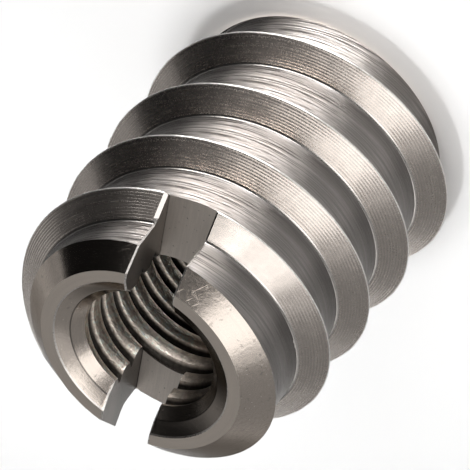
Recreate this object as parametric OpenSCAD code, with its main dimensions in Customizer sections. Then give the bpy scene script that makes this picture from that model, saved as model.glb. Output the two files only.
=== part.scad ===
// Slotted screw-in insert: a coarse wood thread outside, a machine thread inside,
// and a screwdriver slot across one end. Turned and milled from one steel bar.
// The insert stands on its flat rear end at z = 0, with the slotted end up.

/* [Body] */
// Length from the rear end face to the slotted end face
length = 19; // [14:0.5:26]
// Diameter of the plain band between the turns of the wood thread
root_d = 12.9; // [11.5:0.1:14]
// Width of the flat ring left between the outer chamfer and the mouth of the hole
face_ring = 0.65; // [0.4:0.05:1]
// Slope of the slotted end's outer chamfer, in degrees from the axis
face_chamfer_angle = 48; // [35:1:60]
// Width of the broken edge round the rear end face
rear_edge = 0.15; // [0.05:0.05:0.5]

/* [Wood thread] */
// Diameter over the crests
crest_d = 15.5; // [14.5:0.1:17]
// Distance from one crest to the next
pitch = 4.15; // [3.5:0.05:5.5]
// Width of the narrow land on top of a crest
crest_land = 0.06; // [0.02:0.01:0.2]
// Lean of the flank that faces the slotted end, in degrees from square
front_flank_angle = 35; // [20:1:45]
// Lean of the flank that faces the rear end, in degrees from square
rear_flank_angle = 12; // [5:1:30]
// Radius at the foot of the front flank
front_foot_r = 0.25; // [0.1:0.05:0.5]
// Radius at the foot of the rear flank
rear_foot_r = 0.5; // [0.1:0.05:0.8]
// Angle from +X where the crest would leave the rear end face
thread_start = 23; // [0:1:359]

/* [Machine thread] */
// Wall of the tapped hole: the minor diameter of an M8 thread
bore_d = 6.9; // [6.6:0.05:7.2]
// How far the steep lead-in cone opens out from the wall of the hole
lead_width = 0.5; // [0.3:0.05:0.7]
// Depth of the lead-in cone
lead_depth = 0.55; // [0.3:0.05:1]
// How far the shallow outer cone opens out from the lead-in cone
mouth_width = 0.75; // [0.4:0.05:0.9]
// Depth of the shallow outer cone
mouth_depth = 0.35; // [0.2:0.05:0.6]
// How far the 45 degree countersink opens out in the rear end face
rear_mouth_width = 0.85; // [0.3:0.05:1.5]

/* [Slot] */
// Width of the screwdriver slot, which runs along Y
slot_w = 2.5; // [1.6:0.1:3.2]
// Depth of the slot below the end face
slot_depth = 3.8; // [2.5:0.1:5]
// Distance of the slot's middle from the axis, towards +X
slot_offset = 0.15; // [0:0.05:0.4]

/* [Hidden] */

steel = [0.72, 0.70, 0.67];
// How far a cutting solid stands out past the surface that it cuts
overrun = 1;
// Sides of the turned surfaces, and facets in one turn of the wood thread
round_sides = 96;
turn_sides = 48;
// Facets in each foot radius
foot_sides = 3;

root_r = root_d / 2;
crest_r = crest_d / 2;
thread_height = crest_r - root_r;
// Each cone starts where the one inside it ends, and the ring starts at the outer cone
bore_r = bore_d / 2;
lead_r = bore_r + lead_width;
mouth_r = lead_r + mouth_width;
face_r = mouth_r + face_ring;
// The blank that the chamfers are turned on is wider than the crests, so it never trims one
blank_r = crest_r + overrun;

// Foot radius in the outline, from the flank (turned by 90 - lean) to the plain band.
// Points are [distance along the axis from the crest, radius].
function foot_reach(lean, r) = r * tan((90 - lean) / 2);
function foot(lean, r) = [
    for (k = [0 : foot_sides])
        let (
            swing = (90 - lean) * (1 - k / foot_sides),
            corner = crest_land / 2 + thread_height * tan(lean),
            middle = corner + foot_reach(lean, r)
        )
        [middle - r * sin(swing), root_r + r - r * cos(swing)]
];
function mirrored(points) = [
    for (k = [len(points) - 1 : -1 : 0])
        [-points[k][0], points[k][1]]
];

// Outline of one turn, rising along the axis: up the rear flank, over the crest's land
// and down the front flank. The plain band runs from its last point to the next turn.
outline = concat(
    mirrored(foot(rear_flank_angle, rear_foot_r)),
    [[-crest_land / 2, crest_r], [crest_land / 2, crest_r]],
    foot(front_flank_angle, front_foot_r)
);
turn_points = len(outline);

// The helix starts whole turns below the rear end, so both of its ragged ends are cut off
helix_bottom = -pitch * (2 + thread_start / 360);
turns = ceil((length - helix_bottom - outline[0][0]) / pitch);
rows = turn_points * turns;

// Point number row up the outline, at step number step round the axis (right-handed)
function thread_point(step, row) =
    let (
        angle = 360 * step / turn_sides,
        at = outline[row % turn_points],
        turn = floor(row / turn_points) + step / turn_sides
    )
    [at[1] * cos(angle), at[1] * sin(angle), helix_bottom + pitch * turn + at[0]];

// One step before a full circle, the next point is one whole turn up the first column
function number(step, row) = step < turn_sides
    ? step * (rows + 1) + row
    : row + turn_points;

// A right-handed threaded bar, closed at both ends by fans that meet on the axis
module threaded_bar() {
    points = [
        for (step = [0 : turn_sides - 1], row = [0 : rows])
            thread_point(step, row)
    ];
    bottom_middle = len(points);
    top_middle = bottom_middle + 1;
    sides = [
        for (step = [0 : turn_sides - 1])
            let (top = step < turn_sides - 1 ? rows : rows - turn_points)
            for (row = [0 : top - 1], upper = [false, true])
                upper
                    ? [number(step, row), number(step, row + 1), number(step + 1, row + 1)]
                    : [number(step, row), number(step + 1, row + 1), number(step + 1, row)]
    ];
    bottom_rim = concat(
        [for (step = [0 : turn_sides - 1]) number(step, 0)],
        [for (row = [turn_points : -1 : 1]) number(0, row)]
    );
    top_rim = concat(
        [for (step = [0 : turn_sides - 1]) number(step, rows)],
        [for (row = [rows - 1 : -1 : rows - turn_points]) number(turn_sides - 1, row)]
    );
    bottom = [
        for (k = [0 : len(bottom_rim) - 1])
            [bottom_middle, bottom_rim[k], bottom_rim[(k + 1) % len(bottom_rim)]]
    ];
    lid = [
        for (k = [0 : len(top_rim) - 1])
            [top_middle, top_rim[(k + 1) % len(top_rim)], top_rim[k]]
    ];
    half_turn = pitch / 2;
    middles = [
        [0, 0, helix_bottom + half_turn],
        [0, 0, helix_bottom + pitch * turns + half_turn]
    ];
    polyhedron(points = concat(points, middles), faces = concat(sides, bottom, lid));
}

// The turned blank: square ends, a 45 degree rear chamfer and the slotted end's chamfer
module turned_blank() {
    rear_r = root_r - rear_edge;
    front_cone = (blank_r - face_r) / tan(face_chamfer_angle);
    rotate_extrude($fn = round_sides)
        polygon([
            [0, 0],
            [rear_r, 0],
            [blank_r, blank_r - rear_r],
            [blank_r, length - front_cone],
            [face_r, length],
            [0, length]
        ]);
}

// Everything that the drill and the countersinks take out along the axis
module tapped_hole() {
    lead_top = length - mouth_depth;
    mouth_slope = mouth_width / mouth_depth;
    translate([0, 0, -overrun])
        cylinder(h = length + 2 * overrun, r = bore_r, $fn = round_sides);
    translate([0, 0, lead_top - lead_depth])
        cylinder(h = lead_depth, r1 = bore_r, r2 = lead_r, $fn = round_sides);
    translate([0, 0, lead_top])
        cylinder(
            h = mouth_depth + overrun,
            r1 = lead_r,
            r2 = mouth_r + overrun * mouth_slope,
            $fn = round_sides
        );
    translate([0, 0, -overrun])
        cylinder(
            h = rear_mouth_width + overrun,
            r1 = bore_r + rear_mouth_width + overrun,
            r2 = bore_r,
            $fn = round_sides
        );
}

// The screwdriver slot, milled straight across the end
module screwdriver_slot() {
    reach = 2 * (crest_r + overrun);
    translate([slot_offset - slot_w / 2, -reach / 2, length - slot_depth])
        cube([slot_w, reach, slot_depth + overrun]);
}

module insert_body() {
    color(steel)
        difference() {
            intersection() {
                turned_blank();
                threaded_bar();
            }
            tapped_hole();
            screwdriver_slot();
        }
}

insert_body();
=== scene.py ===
# %% [markdown]
# # A slotted screw-in insert
# The insert is one piece of stainless bar: turned, tapped and then slotted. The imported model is
# the frame. It gives the part's place and overall size, and nothing in it is changed. This lesson
# makes one finer mesh that stands for it, with the tapped thread, the burrs and the broken edges
# that cutting leaves, and then its finishes, a camera, a floor and lamps.

# %% Load the frame
import math

import bmesh
import bpy
import numpy as np
from mathutils import Matrix, Vector


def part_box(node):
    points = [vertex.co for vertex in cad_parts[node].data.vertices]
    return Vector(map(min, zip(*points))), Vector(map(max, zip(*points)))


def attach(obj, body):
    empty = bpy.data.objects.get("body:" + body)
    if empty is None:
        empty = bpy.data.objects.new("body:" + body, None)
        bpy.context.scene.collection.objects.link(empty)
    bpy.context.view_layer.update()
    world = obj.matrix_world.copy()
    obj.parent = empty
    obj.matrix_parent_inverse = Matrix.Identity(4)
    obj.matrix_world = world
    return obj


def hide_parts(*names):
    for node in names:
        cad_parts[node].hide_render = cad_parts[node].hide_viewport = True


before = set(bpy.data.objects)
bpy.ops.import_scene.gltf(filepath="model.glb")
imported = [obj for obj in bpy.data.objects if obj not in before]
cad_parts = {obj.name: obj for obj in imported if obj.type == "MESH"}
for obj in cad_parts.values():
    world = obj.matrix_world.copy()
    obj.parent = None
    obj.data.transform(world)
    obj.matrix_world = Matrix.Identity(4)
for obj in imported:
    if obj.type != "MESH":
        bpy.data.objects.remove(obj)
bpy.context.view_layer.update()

MM = 0.001

# %% [markdown]
# ## Sizes
# A maker works from a drawing, so each size is a name in millimetres. The length and the radius of
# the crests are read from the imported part. The rest could be measured on its mesh, but they are
# plain numbers on its drawing, so they are repeated here. One of them differs: the thread's rear
# flank leans 28 degrees, not 12, which changes only the side of the ridge that faces the floor.

# %% Sizes in millimetres and degrees
node_low, node_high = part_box("insert_body")
LENGTH = node_high.z / MM
CREST_R = node_high.x / MM
ROOT_R = 6.45
PITCH = 4.15
THREAD_START = 23.0
FRONT_LEAN, REAR_LEAN = 35.0, 28.0
FRONT_FOOT, REAR_FOOT = 0.25, 0.5
BORE_R, LEAD_R, MOUTH_R, FACE_R = 3.45, 3.95, 4.7, 5.35
MOUTH_DEPTH, LEAD_DEPTH = 0.35, 0.55
CHAMFER_ANGLE = 48.0
REAR_EDGE, REAR_MOUTH = 0.15, 0.85
SLOT_W, SLOT_DEPTH, SLOT_MIDDLE = 2.5, 3.8, 0.15
TAP_PITCH, TAP_GROOVE_R = 1.25, 4.02
print("from", round(node_low.z / MM, 3), "to", round(LENGTH, 3), "with crests at", round(CREST_R, 3))

# %% [markdown]
# ## Meshes from numpy
# Blender's own cylinders and screws could be bent into shape, but a thread needs its points at
# exact places. Here a shape is a formula worked out for all its points at once, and the mesh takes
# them as they are. The volume is a quick test of each shape: it is right only if the surface is
# closed and its faces point outwards.


# %% Points and faces into a mesh
def new_piece(name, points, faces):
    """A mesh object from points in millimetres and lists of corner numbers."""
    mesh = bpy.data.meshes.new(name)
    mesh.from_pydata((np.asarray(points) * MM).tolist(), [], faces)
    mesh.update()
    piece = bpy.data.objects.new(name, mesh)
    bpy.context.scene.collection.objects.link(piece)
    return piece


def volume(piece):
    """Signed volume in cubic millimetres: the sum of the tetrahedra from the origin."""
    mesh = piece.data
    mesh.calc_loop_triangles()
    corner = np.zeros(len(mesh.vertices) * 3)
    mesh.vertices.foreach_get("co", corner)
    index = np.zeros(len(mesh.loop_triangles) * 3, np.int32)
    mesh.loop_triangles.foreach_get("vertices", index)
    a, b, c = corner.reshape(-1, 3)[index].reshape(-1, 3, 3).transpose(1, 0, 2)
    return float(np.einsum("ij,ij->i", a, np.cross(b, c)).sum() / 6 / MM**3)


# %% [markdown]
# ## The wood thread's outline
# A thread tool with one steep and one flat side cuts the coarse helix. It leaves a sharp crest with
# a small raised burr, and a rounded foot on each side. The outline of one turn is drawn as points,
# distance along the axis and then radius, from just behind one crest to just behind the next. A
# curve object could hold it, but plain points let each part have just as many as it needs.


# %% Arcs and straight runs
def arc(centre, radius, start, end, count):
    """Points on a circle from the start to the end angle, in degrees: the centre plus radius times
    cosine along the axis, and plus radius times sine across it."""
    swing = np.radians(np.linspace(start, end, count))
    return np.stack([centre[0] + radius * np.cos(swing), centre[1] + radius * np.sin(swing)], -1)


def straight(first, last, count):
    """count points from first up to, but not including, last, evenly apart."""
    share = np.linspace(0, 1, count, endpoint=False)[:, None]
    return np.asarray(first) * (1 - share) + np.asarray(last) * share


# %% Outline of one turn of the wood thread
LAND = 0.05
BURR = 0.008
CREST_EDGE = 0.045
HEIGHT = CREST_R - ROOT_R


def foot_points(lean, radius, count):
    """The fillet from a flank, leaning from square, to the plain band: distance along the axis
    from the crest, and radius. It turns through 90 degrees less the lean."""
    corner = LAND + HEIGHT * math.tan(math.radians(lean))
    middle = corner + radius * math.tan(math.radians((90 - lean) / 2))
    return arc((middle, ROOT_R + radius), radius, 180 + lean, 270, count)


front_foot = foot_points(FRONT_LEAN, FRONT_FOOT, 6)
rear_foot = foot_points(REAR_LEAN, REAR_FOOT, 7)
rear_side = (rear_foot * [-1, 1])[::-1]
crest_low, crest_high = CREST_R - CREST_EDGE, CREST_R - BURR
crest_shoulder = crest_high - 0.012
crest = np.array([[-LAND, crest_low], [-0.6 * LAND, crest_shoulder], [0, crest_high],
                  [0.6 * LAND, crest_shoulder], [LAND, crest_low]])
wood_outline = np.vstack([
    rear_side[:-1],
    straight(rear_side[-1], crest[0], 5),
    crest[:-1],
    straight(crest[-1], front_foot[0], 9),
    front_foot[:-1],
    straight(front_foot[-1], [PITCH + rear_side[0, 0], ROOT_R], 9),
])
print("points in one turn of the wood thread:", len(wood_outline))

# %% [markdown]
# ## The wood-threaded bar
# On the lathe the tool moves along as the bar turns. A Screw modifier could do that, or a cylinder
# could be displaced, which would blur the crest. Carrying the outline along the helix in numpy
# keeps the edge crisp at every turn and gives a closed solid. The bar starts below the foot and
# ends above the top, and the blank cuts it to length later.


# %% Outlines carried along a helix
def threaded(name, outline, pitch, bottom, turns, steps, change=None):
    """A closed right-handed threaded bar. Point (j, i) is outline point i modulo n, moved up by
    pitch * (i // n + j / steps) and turned by j / steps of a circle. The last column joins the
    first one a whole turn higher. change(angle, height, radius) may alter the radii."""
    outline = np.asarray(outline, float)
    n = len(outline)
    rows = n * turns
    i = np.arange(rows + 1)[None, :]
    j = np.arange(steps)[:, None]
    turn = i // n + j / steps
    height = bottom + pitch * turn + outline[i % n, 0]
    radius = outline[i % n, 1] + 0 * turn
    if change:
        radius = change(2 * np.pi * turn, height, radius)
    angle = 2 * np.pi * j / steps
    points = np.stack([radius * np.cos(angle), radius * np.sin(angle), height], -1).reshape(-1, 3)
    width = rows + 1
    grid = j[:-1] * width + np.arange(rows)[None, :]
    body = np.stack([grid, grid + width, grid + width + 1, grid + 1], -1).reshape(-1, 4)
    here = (steps - 1) * width + np.arange(rows - n)
    above = np.arange(rows - n) + n
    seam = np.stack([here, above, above + 1, here + 1], -1)
    low = np.concatenate([j[:, 0] * width, np.arange(n, 0, -1)])
    last_column = (steps - 1) * width + rows - 1 - np.arange(n)
    high = np.concatenate([j[:, 0] * width + rows, last_column])
    ends = np.array([[0, 0, bottom + pitch / 2], [0, 0, bottom + pitch * (turns + 0.5)]])
    points = np.vstack([points, ends])
    lid_low = np.stack([0 * low + len(points) - 2, np.roll(low, -1), low], -1)
    lid_high = np.stack([0 * high + len(points) - 1, high, np.roll(high, -1)], -1)
    faces = body.tolist() + seam.tolist() + lid_low.tolist() + lid_high.tolist()
    return new_piece(name, points, faces)


# %% Wood-threaded bar
TURNS_BELOW = 2
WOOD_STEPS = 240
bar_bottom = -PITCH * (TURNS_BELOW + THREAD_START / 360)
bar_turns = math.ceil((LENGTH - bar_bottom + PITCH) / PITCH)


def ragged(angle, height, radius):
    """The burr on the crest stands up unevenly, by up to BURR: a sum of waves round the axis."""
    slow_wave = np.sin(23.7 * angle + 2 * np.sin(5 * angle))
    wave = np.sin(37 * angle) + slow_wave + np.sin(61.3 * angle + 1)
    return radius + BURR / 3 * wave * (radius > CREST_R - 0.03)


insert = threaded("turned_insert", wood_outline, PITCH, bar_bottom, bar_turns, WOOD_STEPS, ragged)
print("threaded bar:", len(insert.data.polygons), "faces,", round(volume(insert)), "mm3")

# %% [markdown]
# ## The turned blank and the countersinks
# The lathe also gives the two end faces, the chamfer and the countersinks. Bevels on the finished
# mesh would follow the thread, not the axis, so these are solids of revolution that cut it. The
# front mouth is two cones and a fine lip, and each cone is carried on past the surface it meets.


# %% Profiles turned round the axis
def turned(name, profile, sides):
    """A closed solid of revolution. Point (k, j) is the k-th profile point (radius, height)
    turned by j / sides of a circle. The first and last profile points lie on the axis."""
    profile = np.asarray(profile, float)
    middle = profile[1:-1]
    angle = 2 * np.pi * np.arange(sides) / sides
    radius, height = middle[:, :1], middle[:, 1:]
    ring = np.stack([radius * np.cos(angle), radius * np.sin(angle), height + 0 * angle], -1)
    poles = np.array([[0, 0, profile[0, 1]], [0, 0, profile[-1, 1]]])
    points = np.vstack([ring.reshape(-1, 3), poles])
    j = np.arange(sides)
    after = (j + 1) % sides
    k = np.arange(len(middle) - 1)[:, None] * sides
    quads = np.stack([k + j, k + after, k + sides + after, k + sides + j], -1).reshape(-1, 4)
    last = (len(middle) - 1) * sides
    bottom = np.stack([0 * j + len(points) - 2, after, j], -1)
    top = np.stack([0 * j + len(points) - 1, last + j, last + after], -1)
    return new_piece(name, points, quads.tolist() + bottom.tolist() + top.tolist())


# %% Blank and countersinks
SIDES = 240
OVER, INSIDE = 1.0, 0.6
LIP_WIDTH, LIP_DEPTH = 0.07, 0.055
TOOL_DEPTH = 4
blank_r = CREST_R + OVER
cone_drop = (blank_r - FACE_R) / math.tan(math.radians(CHAMFER_ANGLE))
blank = turned("blank", [
    (0, 0), (ROOT_R - REAR_EDGE, 0), (blank_r, blank_r - ROOT_R + REAR_EDGE),
    (blank_r, LENGTH - cone_drop), (FACE_R, LENGTH), (0, LENGTH)], SIDES)

lead_top = LENGTH - MOUTH_DEPTH
lead_low = lead_top - LEAD_DEPTH
lead_run = INSIDE * LEAD_DEPTH / (LEAD_R - BORE_R)
front_mouth = turned("front_mouth", [
    (0, LENGTH - TOOL_DEPTH), (BORE_R - INSIDE, LENGTH - TOOL_DEPTH),
    (BORE_R - INSIDE, lead_low - lead_run), (LEAD_R, lead_top),
    (MOUTH_R - LIP_WIDTH, LENGTH - LIP_DEPTH),
    (MOUTH_R + OVER * LIP_WIDTH / LIP_DEPTH, LENGTH + OVER), (0, LENGTH + OVER)], SIDES)
rear_mouth = turned("rear_mouth", [
    (0, -OVER), (BORE_R + REAR_MOUTH + OVER, -OVER), (BORE_R - INSIDE, REAR_MOUTH + INSIDE),
    (0, REAR_MOUTH + INSIDE)], SIDES)
for cutter in (blank, front_mouth, rear_mouth):
    print(cutter.name, len(cutter.data.polygons), "faces,", round(volume(cutter), 1), "mm3")

# %% [markdown]
# ## The tap
# A tap leaves a second, finer helix inside the hole. Its crests are wide and slightly rounded, and
# its grooves fade out under the lead-in cone. A bump could only pretend to be grooves this deep, so
# the tap is a threaded bar of its own, and cutting with it leaves the hole and its thread at once.

# %% Tap
TAP_CREST, TAP_FLANK, TAP_BULGE = 0.34, 0.22, 0.08
TAP_CREST_HEIGHT = 15.42
TAP_TURNS_BELOW, TAP_TURNS, TAP_STEPS = 16, 21, 144
TAP_FADE = 0.35
bulge_r = (TAP_CREST**2 + TAP_BULGE**2) / (2 * TAP_BULGE)
bulge_turn = math.degrees(math.asin(TAP_CREST / bulge_r))
groove = TAP_CREST + TAP_FLANK
tap_outline = np.vstack([
    straight([-groove, TAP_GROOVE_R], [-TAP_CREST, BORE_R + TAP_BULGE], 4),
    arc((0, BORE_R + bulge_r), bulge_r, -90 - bulge_turn, -90 + bulge_turn, 9)[:-1],
    straight([TAP_CREST, BORE_R + TAP_BULGE], [groove, TAP_GROOVE_R], 4),
    straight([groove, TAP_GROOVE_R], [TAP_PITCH - groove, TAP_GROOVE_R], 2),
])


def tap_fade(angle, height, radius):
    """The groove grows from nothing under the lead-in cone to its full depth."""
    depth = np.clip((lead_low + 0.02 - height) / TAP_FADE, 0, 1)
    return BORE_R + (radius - BORE_R) * depth * depth * (3 - 2 * depth)


tap_bottom = TAP_CREST_HEIGHT - TAP_TURNS_BELOW * TAP_PITCH
tap = threaded("tap", tap_outline, TAP_PITCH, tap_bottom, TAP_TURNS, TAP_STEPS, tap_fade)
print("tap:", len(tap.data.polygons), "faces,", round(volume(tap), 1), "mm3")

# %% [markdown]
# ## Cutting
# The bar is cut to the blank's outer shape, then tapped, and then its two mouths are opened. The
# slot comes last. A Boolean modifier could stay live, but the next steps need the cut surface, so
# each one is applied at once. The MANIFOLD solver is fast, and it gives a closed solid whenever
# both of its solids are closed, as these are.


# %% Cut the insert
def cut(piece, cutter, operation):
    """One Boolean, applied at once, after which the cutter is thrown away."""
    step = piece.modifiers.new(operation, "BOOLEAN")
    step.operation, step.object, step.solver = operation, cutter, "MANIFOLD"
    graph = bpy.context.evaluated_depsgraph_get()
    made = bpy.data.meshes.new_from_object(piece.evaluated_get(graph))
    piece.modifiers.clear()
    old, piece.data = piece.data, made
    bpy.data.meshes.remove(old)
    bpy.data.objects.remove(cutter)
    print(operation.lower(), len(piece.data.polygons), "faces,", round(volume(piece), 1), "mm3")


cut(insert, blank, "INTERSECT")
cut(insert, tap, "DIFFERENCE")
cut(insert, front_mouth, "DIFFERENCE")
cut(insert, rear_mouth, "DIFFERENCE")

# %% [markdown]
# ## The deburred slot
# A slitting saw leaves sharp edges, and a quick pass with a file or a brush breaks them. The
# broken edge is what glints along the slot. A Bevel modifier wants a clean loop of edges, and the
# line where a plane meets a thread is not one. So the surface beside each slot wall is scored at
# the strip's width, and then pressed in by an amount that grows evenly towards the wall, before the
# slot is cut through. The strip is widest on the +x jaw's thread at its -y end, and its slope is
# gentler at the +y end.

# %% Places beside the slot
WALL_LOW, WALL_HIGH = SLOT_MIDDLE - SLOT_W / 2, SLOT_MIDDLE + SLOT_W / 2
STRIP_WIDE, STRIP_FINE, STRIP_LOW = 0.20, 0.09, 0.08
STRIP_STEEP, STRIP_GENTLE = math.tan(math.radians(32)), math.tan(math.radians(20))
STRIP_RISE, STRIP_REACH = 0.25, 0.3
ON_THREAD = ROOT_R + 0.12


def strip_width(x, y, radius):
    """The strip's width: STRIP_WIDE on the +x jaw's thread at its -y end, STRIP_FINE on the rest
    of that jaw, and STRIP_LOW on the other one."""
    wide = (x > SLOT_MIDDLE) & (y < 0) & (radius > ON_THREAD)
    return np.where(wide, STRIP_WIDE, np.where(x > SLOT_MIDDLE, STRIP_FINE, STRIP_LOW))


def in_strip(radius, z):
    """True outside the tapped thread: beyond the lead-in cone, or on its upper part."""
    return (radius > LEAD_R + 0.1) | ((radius > BORE_R + 0.12) & (z > lead_low + 0.1))


print("slot walls at", round(WALL_LOW, 2), "and", round(WALL_HIGH, 2), "mm")


# %% Score the surface
def score(piece, planes):
    """Cuts new edges into the surface along planes, given as (place in millimetres, normal)."""
    work = bmesh.new()
    work.from_mesh(piece.data)
    for place, normal in planes:
        everything = work.verts[:] + work.edges[:] + work.faces[:]
        bmesh.ops.bisect_plane(
            work, geom=everything, dist=1e-8, plane_co=Vector(place) * MM, plane_no=normal)
    work.to_mesh(piece.data)
    work.free()


ACROSS, ALONG = (1, 0, 0), (0, 0, 1)
score(insert, [((x, 0, 0), ACROSS) for x in (
    WALL_HIGH + STRIP_WIDE, WALL_HIGH + STRIP_FINE, WALL_HIGH, WALL_LOW, WALL_LOW - STRIP_LOW)])
score(insert, [((0, 0, LENGTH - SLOT_DEPTH + rise), ALONG) for rise in (0, STRIP_RISE)])
print("faces after scoring:", len(insert.data.polygons))


# %% Press the edges in
def press_edges(piece):
    """Moves each point near a slot wall along its own normal, less the part across the slot, by
    slope * (strip width - distance from the wall). It fades out at the slot's floor, and inside
    the slot, where the metal goes away anyway."""
    mesh = piece.data
    flat = np.zeros(len(mesh.vertices) * 3)
    mesh.vertices.foreach_get("co", flat)
    point = flat.reshape(-1, 3) / MM
    normal = np.zeros(len(mesh.vertices) * 3, np.float32)
    mesh.vertex_normals.foreach_get("vector", normal)
    normal = normal.reshape(-1, 3).astype(float)
    normal[:, 0] = 0
    normal /= np.maximum(np.linalg.norm(normal, axis=1, keepdims=True), 0.3)
    x, y, z = point.T
    radius = np.hypot(x, y)
    away = np.maximum(np.maximum(x - WALL_HIGH, WALL_LOW - x), 0)
    slope = np.where(y > 0, STRIP_GENTLE, STRIP_STEEP)
    depth = slope * np.maximum(strip_width(x, y, radius) - away, 0)
    depth *= np.clip((z - LENGTH + SLOT_DEPTH) / STRIP_RISE, 0, 1) * in_strip(radius, z)
    depth *= np.clip(1 - np.minimum(WALL_HIGH - x, x - WALL_LOW) / STRIP_REACH, 0, 1)
    point -= normal * depth[:, None]
    mesh.vertices.foreach_set("co", (point * MM).ravel())
    mesh.update()
    print("edge points pressed in:", int((depth > 0).sum()))


press_edges(insert)

# %% Cut the slot
BEYOND = 10
slot_box = np.array([[x, y, z] for z in (LENGTH - SLOT_DEPTH, LENGTH + 2)
                     for y in (-BEYOND, BEYOND) for x in (WALL_LOW, WALL_HIGH)])
slot = new_piece("slot", slot_box, [[0, 2, 3, 1], [4, 5, 7, 6], [0, 1, 5, 4], [1, 3, 7, 5],
                                    [3, 2, 6, 7], [2, 0, 4, 6]])
cut(insert, slot, "DIFFERENCE")

# %% [markdown]
# ## The finished piece
# Shaded flat, a turned surface shows its facets. Here it shades smoothly, and only a corner over
# 20 degrees stays a corner, so the two cones of the mouth still meet in a line. The mesh rides on
# the part's one body. The imported node stays as it is, hidden.

# %% Shade it and hand it over
SHARP = 20
insert.data.name = "turned_insert"
insert.data.shade_smooth()
insert.data.set_sharp_from_angle(angle=math.radians(SHARP))

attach(insert, "root")
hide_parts("insert_body")
print(insert.name, "has", len(insert.data.polygons), "faces")

# %% [markdown]
# ## Writing finishes as sums
# Steel shows how it was cut. A finish here is a material whose colour, roughness and relief are
# written as Python expressions on the place in the part. A Wire stands for one output socket, and
# the usual signs between wires and numbers add the Math nodes. Drawing the same nodes by hand
# would work too, but a sum can be read, and changed, in one line.
#
# Several finishes are darker or lighter on one side of the part, given in degrees round the axis.
# That is painted shade and painted highlight. Dried oil and wear are a fair reason for it, but it
# is a guess. It does a job that a few lamps can't: it keeps some steel as dark, or as light, as a
# real room full of things would.


# %% Wires
class Wire:
    """One output socket of a recipe. + - * / and ** with numbers or wires add Math nodes."""

    def __init__(self, recipe, socket):
        self.recipe, self.socket = recipe, socket

    def maths(self, operation, other=0.0, swapped=False):
        """A Math node on this wire and another value, or the other way round if swapped."""
        first, second = (other, self) if swapped else (self, other)
        return self.recipe.add("ShaderNodeMath", {"operation": operation}, {0: first, 1: second})

    def __add__(self, other):
        return self.maths("ADD", other)

    def __sub__(self, other):
        return self.maths("SUBTRACT", other)

    def __rsub__(self, other):
        return self.maths("SUBTRACT", other, True)

    def __mul__(self, other):
        return self.maths("MULTIPLY", other)

    def __truediv__(self, other):
        return self.maths("DIVIDE", other)

    def __pow__(self, other):
        return self.maths("POWER", other)

    __radd__, __rmul__ = __add__, __mul__

    def between(self, low, high, start=0.0, end=1.0):
        """A smooth change from start at low to end at high, and level beyond them."""
        return self.recipe.add(
            "ShaderNodeMapRange", {"interpolation_type": "SMOOTHSTEP"},
            {"Value": self, "From Min": low, "From Max": high, "To Min": start, "To Max": end})


# %% Recipes
class Recipe:
    """The nodes of one material or of the world."""

    def __init__(self, owner):
        owner.use_nodes = True
        self.nodes, self.links = owner.node_tree.nodes, owner.node_tree.links

    def put(self, socket, value):
        """Gives a socket a value, or a wire."""
        if isinstance(value, Wire):
            self.links.new(value.socket, socket)
        else:
            socket.default_value = value

    def add(self, kind, settings=None, sockets=None, output=0):
        """Any node: its settings are set first, then its sockets take values or wires."""
        node = self.nodes.new(kind)
        for key, value in (settings or {}).items():
            setattr(node, key, value)
        for key, value in (sockets or {}).items():
            self.put(node.inputs[key], value)
        return node if output is None else Wire(self, node.outputs[output])

    def vector(self, x, y, z):
        """Three numbers or wires as one vector wire."""
        return self.add("ShaderNodeCombineXYZ", sockets={0: x, 1: y, 2: z})


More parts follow.
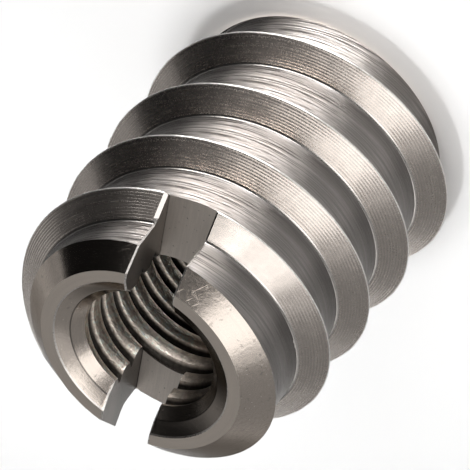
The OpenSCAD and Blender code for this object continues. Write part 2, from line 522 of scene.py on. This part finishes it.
# %% Finishes
class Finish(Recipe):
    """A metal, with the place in millimetres ready as wires: x, y, z, the radius, the direction
    round the axis, and the place along the wood thread from 0 at one crest to 1 at the next."""

    def __init__(self, name, colour, roughness, anisotropic=0.0):
        self.material = bpy.data.materials.new(name)
        super().__init__(self.material)
        self.shader = self.nodes["Principled BSDF"].inputs
        self.colour = (*colour, 1)
        self.put(self.shader["Base Color"], self.colour)
        self.put(self.shader["Metallic"], 1.0)
        self.put(self.shader["Roughness"], roughness)
        self.put(self.shader["Anisotropic"], anisotropic)
        self.put(self.shader["Anisotropic Rotation"], 0.25)
        place = self.add("ShaderNodeTexCoord", output="Object")
        parts = self.add("ShaderNodeSeparateXYZ", sockets={"Vector": place}, output=None)
        self.x, self.y, self.z = (Wire(self, out) * (1 / MM) for out in parts.outputs)
        self.radius = (self.x * self.x + self.y * self.y) ** 0.5
        self.across = (self.x / self.radius, self.y / self.radius)
        turn = self.y.maths("ARCTAN2", self.x) * (1 / (2 * math.pi))
        self.thread = (self.z * (1 / PITCH) - turn - THREAD_START / 360).maths("FRACT")

    def noise(self, vector, detail=2.0):
        """A noise of about 0.5 with grains one unit of the vector across."""
        sockets = {"Vector": vector, "Scale": 1.0, "Detail": detail}
        return self.add("ShaderNodeTexNoise", sockets=sockets)

    def marks(self, along, length, width, detail=2.0):
        """Noise stretched round the axis: marks about length mm long, width mm wide, laid side by
        side in the direction that the wire along measures. It meets itself after a full turn."""
        round_x, round_y = self.across
        size = ROOT_R / length
        return self.noise(self.vector(round_x * size, round_y * size, along * (1 / width)), detail)

    def specks(self, size, detail=2.0):
        """Even noise with grains about size mm across."""
        fineness = 1 / size
        place = self.vector(self.x * fineness, self.y * fineness, self.z * fineness)
        return self.noise(place, detail)

    def side(self, turn):
        """How far a place lies to the side that turn, in degrees, points to: 1 there, and -1 on
        the opposite side. It is the cosine of the angle between the two directions."""
        a = math.radians(turn)
        return self.across[0] * math.cos(a) + self.across[1] * math.sin(a)

    def tint(self, amount):
        """The base colour times a wire that is about 1."""
        grey = self.add("ShaderNodeCombineColor", sockets={0: amount, 1: amount, 2: amount})
        mixed = self.add("ShaderNodeMix", {"data_type": "RGBA", "blend_type": "MULTIPLY"},
                         {0: 1.0, 6: grey, 7: self.colour}, output=2)
        self.put(self.shader["Base Color"], mixed)

    def rough(self, wire):
        """The roughness, as a wire from 0 to 1."""
        self.put(self.shader["Roughness"], wire)

    def relief(self, height, depth):
        """A bump whose height wire, from 0 to 1, stands for depth mm. It is a finish's last line."""
        sockets = {"Height": height, "Distance": depth * MM, "Strength": 1.0}
        self.put(self.shader["Normal"], self.add("ShaderNodeBump", sockets=sockets))
        print(self.material.name, "has", len(self.nodes), "nodes")


# %% [markdown]
# ## The flanks
# A form tool feeds along the flank and leaves fine lines, one feed apart, that are not equally
# deep everywhere. A Wave texture could draw rings too, but a sine of the radius ties them to the
# feed in millimetres and keeps them in line with the crest. On the first turn of the -x jaw the
# driver has rubbed them smooth, and the place next to the slot carries a painted highlight. On the
# other jaw they are still clear.

# %% Flanks of the wood thread
FEED = 0.118
flank = Finish("turned_flank", (0.655, 0.588, 0.535), 0.25, 0.6)
wander = flank.marks(flank.radius, 5.0, 0.8)
lines = ((flank.radius + wander * 0.06) * (2 * math.pi / FEED)).maths("SINE") * 0.5 + 0.5
fine = flank.marks(flank.radius, 3.0, 0.05)
sparkle = flank.specks(0.06)
mottle = flank.specks(0.35, 3.0)
rubbed = flank.side(244).between(0.85, 0.95) * flank.z.between(13.5, 14.5)
held = flank.specks(2.0).between(0.38, 0.58, 0.35, 1.0) * (1 - rubbed)
clear = flank.side(318).between(0.72, 0.95) * flank.z.between(14.2, 15.2)
held = 1 - (1 - held) * (1 - clear)
sparkle = 0.5 + (sparkle - 0.5) * (1 - 0.75 * rubbed) * (1 - 0.6 * clear)
# Painted highlight: the first turn of the -x jaw is lighter beside the slot.
painted_flank_highlight = flank.side(262).between(0.945, 0.990) * flank.z.between(13.5, 14.5)
shine = 0.70 + (0.26 * lines + 0.24 * fine - 0.25) * held + 0.20 * sparkle + 0.24 * mottle
flank.tint(shine * (1 + 0.6 * painted_flank_highlight))
flank.rough(0.17 + 0.08 * fine + 0.10 * sparkle)
flank.relief((0.48 * lines * (1 + 1.5 * clear) + 0.4 * fine) * held + 0.16 * sparkle, 0.011)

# %% [markdown]
# ## The crest
# The crest is the sharp outer edge. Handling and the tool's exit leave it burnished and slightly
# dented, so it is the lightest steel on the part. The mesh already has the edge and its burr, and
# the finish only adds dents too small to model.

# %% Crest of the wood thread
crest_edge = Finish("burnished_crest", (0.80, 0.77, 0.74), 0.42, 0.8)
dent = crest_edge.specks(0.15)
crest_edge.tint(0.75 + 0.5 * dent)
crest_edge.rough(0.32 + 0.2 * dent)
crest_edge.relief(dent, 0.02)

# %% [markdown]
# ## The bands between the threads
# The tool's tip ploughs these, and tears the steel more on one side of the part than on the other.
# Long marks are laid side by side along the helix, and the deepest of them look black. Relief
# alone would leave them as light as the rest, so the same marks also darken the colour: painted
# shade in the marks, strongest at 298 degrees. A line of painted shade follows the foot of the
# front flank. Painted shade darkens the bands at 0 and 195 degrees and away from 276, and a
# painted highlight lightens the lowest part on its -y side.

# %% Marks on the bands
band = Finish("thread_band", (0.35, 0.325, 0.308), 0.34, 0.9)
drift = band.specks(2.5)
lane = (band.thread + drift * 0.02) * PITCH
broad = band.marks(lane, 6.0, 0.25)
streak = band.marks(lane, 4.0, 0.1, 4.0)
grainy = band.marks(lane, 0.3, 0.05)
# Painted shade in the deepest marks, strongest at 298 degrees.
torn_and_shaded_side = band.side(298).between(0.45, 0.85, 0.25, 1.0)
torn = band.marks(lane, 3.5, 0.07, 3.0).between(0.51, 0.60) * torn_and_shaded_side
cut_marks = (0.40 + 0.45 * broad + 0.62 * streak + 0.12 * grainy) * (1 - 0.8 * torn)

# %% Bands between the threads
# Painted shade: a darker line in the corner along the foot of the front flank.
foot = band.thread.between(0.262, 0.285, 0.75, 1.0)
# Painted shade: the bands are darker at 0 and 195 degrees and away from 276.
painted_band_shade = band.side(276).between(0.76, 0.93, 0.80, 1.0) * band.side(0).between(0.42, 0.62, 1.0, 0.30)
painted_band_shade = painted_band_shade * band.side(195).between(0.90, 0.99, 1.0, 0.60)
# Painted highlight: the lowest band is lighter on its -y side.
painted_band_highlight = band.side(270).between(0.92, 0.99) * band.z.between(4.0, 3.2)
band.tint(cut_marks * foot * painted_band_shade * (1 + 0.6 * painted_band_highlight))
band.rough(0.27 + 0.14 * streak)
band.relief(0.8 * broad + 0.8 * streak - 0.5 * torn + 0.2 * grainy, 0.06)

# %% [markdown]
# ## The chamfer and the countersinks
# A boring bar leaves these cones nearly smooth, with faint ripples, shallow orange peel, a few
# pits, and crossed scratches where the driver slipped out of the slot. Painted scratches would
# need an image, but two noises stretched along crossing directions give them anywhere.
#
# Painted shade darkens the cones: in the mouth at 222 degrees, more lightly at 128, and at 285 on
# the wider cone only. On the chamfer and the rear countersink it lies at 80 degrees. A painted dark
# line follows the seam where the mouth's two cones meet.
# At 308 degrees the cones are calm, which means smoother and glossier than the rest. A low
# specular tint keeps the steel dark where it is seen at a grazing angle.

# %% Marks on the cones
cone = Finish("turned_cone", (0.655, 0.578, 0.512), 0.22, 0.4)
ripple = cone.marks(cone.radius, 5.0, 0.1)
grain = cone.specks(0.09)
pits = cone.specks(0.3).between(0.64, 0.72)
peel = cone.specks(0.25, 3.0)
one_way, other_way = 0.8 * cone.x + 0.6 * cone.y, 0.6 * cone.x - 0.8 * cone.y
slips = (cone.noise(cone.vector(one_way * 9, other_way * 0.8, 3.0)).between(0.60, 0.68)
         + cone.noise(cone.vector(other_way * 9, one_way * 0.8, 7.0)).between(0.62, 0.68))
slips = slips * cone.x.between(-2.7, -2.1) * cone.y.between(-4.8, -5.2)

# %% Painted shade in the mouth and on the chamfer
# Painted shade: a dark line along the seam where the mouth's two cones meet.
seam = cone.radius.between(LEAD_R - 0.05, LEAD_R) * cone.radius.between(LEAD_R + 0.05, LEAD_R)
seam = seam * cone.z.between(LENGTH - 2, LENGTH - 1)
inside = cone.radius.between(5.1, 4.9) * cone.z.between(1.0, 2.0)
# Painted shade on one side each: 222, 285 and 128 degrees in the mouth, 80 outside it.
shade_222 = inside * cone.side(222).between(0.3, 0.9, 0.0, 0.92)
shade = inside * cone.side(285).between(0.5, 1.0, 0.0, 0.6)
shade = shade * cone.radius.between(LEAD_R, LEAD_R + 0.1)
shade_80 = (1 - inside) * cone.side(80).between(-0.1, 0.8, 0.0, 0.66)
shade_128 = inside * cone.side(128).between(0.75, 0.97, 0.0, 0.55)
unshaded = (1 - shade_222) * (1 - shade) * (1 - shade_80) * (1 - shade_128)

# %% Chamfer and countersinks
calm = cone.side(308).between(0.85, 0.98)
metal = 0.84 + 0.12 * ripple + 0.12 * grain - 0.2 * pits + 0.3 * slips
cone.tint(metal * (1 - 0.75 * seam) * unshaded)
cone.rough((0.20 + 0.1 * grain) * (1 - 0.4 * calm))
cone.put(cone.shader["Specular Tint"], (0.45, 0.43, 0.41, 1))
cone.relief((0.4 * ripple + 0.3 * grain + 1.1 * peel) * (1 - 0.7 * calm) - 0.45 * slips, 0.006)

# %% [markdown]
# ## The end rings
# Both flat ends are faced with a dull tool. They scatter light evenly, so they look matt beside
# the cones. One even roughness would look like plastic, so a fine dust varies it.

# %% End rings
matt = Finish("matt_ring", (0.635, 0.568, 0.505), 0.55)
dust = matt.specks(0.06, 3.0)
rings = matt.marks(matt.radius, 8.0, 0.09)
matt.tint(0.84 + 0.18 * dust + 0.12 * rings)
matt.rough(0.48 + 0.14 * dust)
matt.relief(0.6 * dust + 0.3 * rings, 0.008)

# %% [markdown]
# ## The tapped thread
# A tap tears stainless steel, so its crests are grainy, and its grooves are painted dark as shade.
# Crests and grooves could be two materials, but the radius alone tells one from the other. Painted
# shade darkens most of the hole, and a painted highlight lightens the side at 50 degrees.

# %% Tapped thread
tapped = Finish("tapped_thread", (0.62, 0.548, 0.48), 0.4)
grit = tapped.specks(0.12, 3.0)
patch = tapped.specks(0.3).between(0.4, 0.62)
rubbing = tapped.marks(tapped.z, 1.2, 0.06)
# Painted shade in the grooves: the deeper, the darker.
deep = tapped.radius.between(BORE_R + 0.09, BORE_R + 0.30)
# Painted shade on most of the hole, and a painted highlight at 50 degrees.
painted_light_and_shade = tapped.side(50).between(0.1, 0.75, 0.18, 1.4)
tapped.tint((0.46 + 0.8 * grit + 0.35 * rubbing + 0.3 * patch) * (1 - 0.9 * deep) * painted_light_and_shade)
tapped.rough(0.34 + 0.22 * grit + 0.1 * deep)
tapped.relief(0.8 * grit + 0.3 * rubbing, 0.05)

# %% [markdown]
# ## The slot
# The saw leaves an even, fine-grained grey with a few pits. The walls carry painted shade, most of
# all low down and at the +y end, where the floor is painted a little lighter. One finish serves
# both: a place within a hair of a wall plane belongs to the wall.

# %% Slot
milled = Finish("milled_slot", (0.71, 0.645, 0.585), 0.45)
mark = milled.noise(milled.vector(milled.x * 12, milled.y * 0.7, milled.z * 12))
tiny = milled.specks(0.06, 3.0)
hole = milled.specks(0.22).between(0.68, 0.74)
off_middle = (milled.x - SLOT_MIDDLE).maths("ABSOLUTE")
on_wall = off_middle.between(SLOT_W / 2 - 0.06, SLOT_W / 2 - 0.01)
# Painted shade on the walls, deepest low down in the slot.
wall_shade = on_wall * milled.z.between(LENGTH - 0.9, LENGTH - 2.2, 0.35, 0.58)
# At the +y end: painted shade on the walls and a painted lighter patch on the floor.
end_light_and_shade = milled.y.between(2.0, 4.5) * (0.2 - 0.78 * on_wall)
milled.tint((0.78 + 0.22 * mark + 0.16 * tiny) * (1 - 0.5 * hole) * (1 - wall_shade) * (1 + end_light_and_shade))
milled.rough(0.38 + 0.14 * tiny)
milled.relief(0.5 * mark + 0.3 * tiny - 0.5 * hole, 0.006)

# %% [markdown]
# ## The broken edges
# A file or a brush leaves the slot's edges and the mouth's lip bright and nearly smooth. Their
# shape is in the mesh, so the finish needs only a light colour, low roughness and a few nicks.

# %% Broken edges
bright = Finish("broken_edge", (0.70, 0.655, 0.615), 0.28)
nick = bright.specks(0.12)
bright.tint(0.9 + 0.2 * nick)
bright.rough(0.22 + 0.14 * nick)
bright.relief(nick, 0.01)

# %% [markdown]
# ## The foot of the wood thread
# The round foot of the front flank has a painted glint, a thin line where it faces 210 degrees,
# and painted shade elsewhere. A thin lamp could draw the glint, but it would light everything else
# too. The slot's edge on the -x jaw's thread is just as dark away from 210 degrees, so it takes the
# same finish.

# %% Foot of the wood thread
painted_glint = Finish("painted_foot_glint", (0.70, 0.655, 0.615), 0.26)
# Painted glint at 210 degrees, painted shade away from it.
painted_glint.tint(painted_glint.side(210).between(0.60, 0.90, 0.2, 1.05) * (0.85 + 0.3 * painted_glint.specks(0.1)))
print(painted_glint.material.name, "has", len(painted_glint.nodes), "nodes")

# %% [markdown]
# ## Dressing the mesh
# One mesh can wear several materials, one number per face. Painting them on by hand would be lost
# at the next change of a size. The middle of a face and the way it looks tell which cut made it, so
# rules choose its finish, and later rules win over earlier ones.

# %% Give each face its finish
FINISHES = [flank, crest_edge, band, cone, matt, tapped, milled, bright, painted_glint]
ON_PLANE, ON_CONE, FLAT = 0.002, 0.03, 0.995


def face_values(mesh, name):
    """Three values for each face, such as its middle or its normal, as three arrays."""
    values = np.zeros(len(mesh.polygons) * 3, np.float32)
    mesh.polygons.foreach_get(name, values)
    return values.reshape(-1, 3).T


def dress(piece):
    """Sorts the faces by where their middle lies and which way they look."""
    mesh = piece.data
    x, y, z = face_values(mesh, "center") / MM
    nx, ny, nz = face_values(mesh, "normal")
    radius = np.hypot(x, y)
    kind = np.zeros(len(x), np.int32)

    def wear(faces, finish):
        kind[faces] = FINISHES.index(finish)

    wear(radius > 0, flank)
    wear(radius > CREST_R - CREST_EDGE, crest_edge)
    # The front flank's foot takes the painted glint and shade.
    foot_glint = (radius > ROOT_R + 0.012) & (radius < ROOT_R + 0.11) & (nz > 0.15)
    wear(foot_glint, painted_glint)
    wear((radius < ROOT_R + 0.05) & ~foot_glint, band)
    chamfer_r = FACE_R + (LENGTH - z) * math.tan(math.radians(CHAMFER_ANGLE))
    wear((np.abs(radius - chamfer_r) < 0.04) & (nz > 0.6), cone)
    wear((z < REAR_MOUTH) & (nz < -0.5), cone)
    inner = radius < MOUTH_R + 0.02
    inward = (nx * x + ny * y) / radius < 0.2
    wear(inner & inward & (z > REAR_MOUTH) & (z < lead_top), tapped)
    wear(inner & (nz > 0.3) & (z > lead_top), cone)
    wear(inner & (z > LENGTH - LIP_DEPTH) & (nz > 0.5) & (nz < 0.85), bright)
    lead_r = LEAD_R - (lead_top - z) * (LEAD_R - BORE_R) / LEAD_DEPTH
    wear(inner & (np.abs(radius - lead_r) < ON_CONE) & (nz > 0.5), cone)
    wear((nz > FLAT) & (z > LENGTH - 0.02), matt)
    wear((nz < -FLAT) & (z < 0.02), matt)
    above = z > LENGTH - SLOT_DEPTH
    gap = np.maximum(x - WALL_HIGH, WALL_LOW - x)
    strip = above & (gap > 0) & (gap < strip_width(x, y, radius)) & in_strip(radius, z)
    wear(strip, bright)
    # The -x jaw's slot edge on the thread takes the same painted glint and shade.
    wear(strip & (x < SLOT_MIDDLE) & (radius > ON_THREAD), painted_glint)
    wear(above & (np.abs(gap) < ON_PLANE) & (np.abs(nx) > 0.99), milled)
    wear((np.abs(z - LENGTH + SLOT_DEPTH) < ON_PLANE) & (nz > 0.99) & (gap < 0), milled)
    mesh.materials.clear()
    for number, finish in enumerate(FINISHES):
        mesh.materials.append(finish.material)
        print(finish.material.name, int((kind == number).sum()), "faces")
    mesh.polygons.foreach_set("material_index", kind)
    mesh.update()


dress(insert)

# %% [markdown]
# ## The camera
# A small part is shown with a long lens from half a metre away, so its far end is hardly smaller
# than the near one. A camera can be aimed by a constraint, but this one is rolled as well, which
# lays the standing insert across the view with its slotted end down and to the left. So its three
# directions and its place are written out.

# %% Camera
camera = bpy.data.objects.new("camera", bpy.data.cameras.new("camera"))
bpy.context.scene.collection.objects.link(camera)
bpy.context.scene.camera = camera
view_right = Vector((-0.87863, -0.12402, -0.46112))
view_up = Vector((0.41298, -0.68215, -0.60343))
towards_viewer = Vector((-0.23972, -0.72062, 0.65057))
camera_place = Vector((-0.120866, -0.363432, 0.337271))
turned_to_view = Matrix((view_right, view_up, towards_viewer)).transposed().to_4x4()
camera.matrix_world = Matrix.Translation(camera_place) @ turned_to_view
camera.data.sensor_width = 36
camera.data.lens = 804.226
camera.data.clip_start, camera.data.clip_end = 0.01, 10
print("camera", round(camera_place.length, 3), "m from the foot of the part")

# %% [markdown]
# ## The floor
# The part stands on a pale, unshiny floor, which the steel mirrors. A curved backdrop would hide
# the horizon from one side only, and a flat, wide floor is the same from every side. It is matt, so
# it keeps the part's shadow and shows no image of the lamps.

# %% Floor
HALF_FLOOR = 400
corners = [[-HALF_FLOOR, -HALF_FLOOR, 0], [HALF_FLOOR, -HALF_FLOOR, 0],
           [HALF_FLOOR, HALF_FLOOR, 0], [-HALF_FLOOR, HALF_FLOOR, 0]]
floor = new_piece("floor", corners, [[0, 1, 2, 3]])
pale = bpy.data.materials.new("pale_floor")
paper = Recipe(pale)
paper_sockets = paper.nodes["Principled BSDF"].inputs
paper.put(paper_sockets["Base Color"], (0.74, 0.74, 0.74, 1))
paper.put(paper_sockets["Roughness"], 0.9)
paper.put(paper_sockets["Specular IOR Level"], 0.0)
floor.data.materials.append(pale)
print("floor", 2 * HALF_FLOOR, "mm wide")

# %% [markdown]
# ## The room
# The room is dark but for three glows: from behind, from straight above, and along the horizon. An
# evenly lit world would be simpler, but metal only looks like metal when it has something dark to
# mirror as well. The glows are smooth functions of the direction, so they have no hard edge.

# %% World
BACK_TURN = math.radians(95)
world = bpy.data.worlds.new("studio")
bpy.context.scene.world = world
room = Recipe(world)
looking = room.add("ShaderNodeTexCoord", output="Generated")
upward = room.add("ShaderNodeSeparateXYZ", sockets={0: looking}, output="Z")
behind = (math.cos(BACK_TURN), math.sin(BACK_TURN), 0.0)
backward = room.add("ShaderNodeVectorMath", {"operation": "DOT_PRODUCT"},
                    {0: looking, 1: behind}, output="Value")
horizon = upward.between(0.0, 0.10, 0.5, 0.0)
glow = backward.between(0.10, 0.45, 0.0, 0.25) + upward.between(0.90, 0.98, 0.004, 0.35) + horizon
room.put(room.nodes["Background"].inputs["Color"], (1, 1, 1, 1))
room.put(room.nodes["Background"].inputs["Strength"], glow)
bpy.context.scene.view_settings.view_transform = "Standard"
print("room has", len(room.nodes), "nodes")

# %% [markdown]
# ## The lamps
# Soft boxes are square lamps. Point lamps would leave hard white dots on polished steel. The key
# lights the flanks and the chamfer, key_foot carries it lower, and a small one stands nearly
# overhead. The low strip draws the long highlight on the bands. The two fills open the dark sides
# of the countersinks and the slot, and the two glints, small and faint, pick out the mouth's cones.


# %% Lamps
def softbox(name, turn, rise, distance, width, height, glow):
    """An area lamp that looks at the part from turn degrees round and rise degrees up. Its glow
    is its surface's brightness, where 1 is white."""
    lamp = bpy.data.lights.new(name, "AREA")
    lamp.shape, lamp.size, lamp.size_y = "RECTANGLE", width, height
    lamp.energy = glow * math.pi * width * height
    holder = bpy.data.objects.new(name, lamp)
    bpy.context.scene.collection.objects.link(holder)
    a, e = math.radians(turn), math.radians(rise)
    spot = Vector((math.cos(e) * math.cos(a), math.cos(e) * math.sin(a), math.sin(e))) * distance
    facing = spot.to_track_quat("Z", "Y").to_matrix().to_4x4()
    holder.matrix_world = Matrix.Translation(spot) @ facing
    holder.visible_camera = False
    print(name, "gives", round(lamp.energy, 3), "W")


softbox("key", turn=198, rise=53, distance=0.4, width=0.22, height=0.39, glow=1.85)
softbox("top", turn=258, rise=76, distance=0.4, width=0.10, height=0.10, glow=1.5)
softbox("side_fill", turn=146, rise=56, distance=0.4, width=0.22, height=0.20, glow=0.36)
softbox("back_fill", turn=23, rise=19, distance=0.4, width=0.09, height=0.07, glow=0.32)
softbox("low_strip", turn=285, rise=8, distance=0.3, width=0.32, height=0.09, glow=23)
softbox("key_foot", turn=172, rise=38, distance=0.4, width=0.09, height=0.08, glow=0.9)
softbox("lead_glint", turn=236, rise=42, distance=0.4, width=0.11, height=0.05, glow=1.0)
softbox("mouth_glint", turn=142, rise=68, distance=0.4, width=0.08, height=0.07, glow=0.8)

# %% [markdown]
# ## The pool of light on the floor
# The floor should look nearly white, and more light on everything would spoil the steel. So a spot
# lamp above shines on the floor only, which light linking lets it do, and the part keeps its own
# light and its shadow.

# %% Floor pool
POOL_HEIGHT, POOL_RADIUS, POOL_GLOW = 0.3, 0.050, 1.38
pool = bpy.data.lights.new("floor_pool", "SPOT")
pool.spot_size, pool.spot_blend = 2 * math.atan(POOL_RADIUS / POOL_HEIGHT), 0.7
pool.shadow_soft_size = 0.05
pool.energy = 4 * math.pi * math.pi * POOL_GLOW * POOL_HEIGHT**2
floor_pool = bpy.data.objects.new("floor_pool", pool)
bpy.context.scene.collection.objects.link(floor_pool)
floor_pool.matrix_world = Matrix.Translation((0.004, 0.014, POOL_HEIGHT))
only_floor = bpy.data.collections.new("only_floor")
only_floor.objects.link(floor)
floor_pool.light_linking.receiver_collection = only_floor
print("floor pool gives", round(pool.energy, 3), "W")
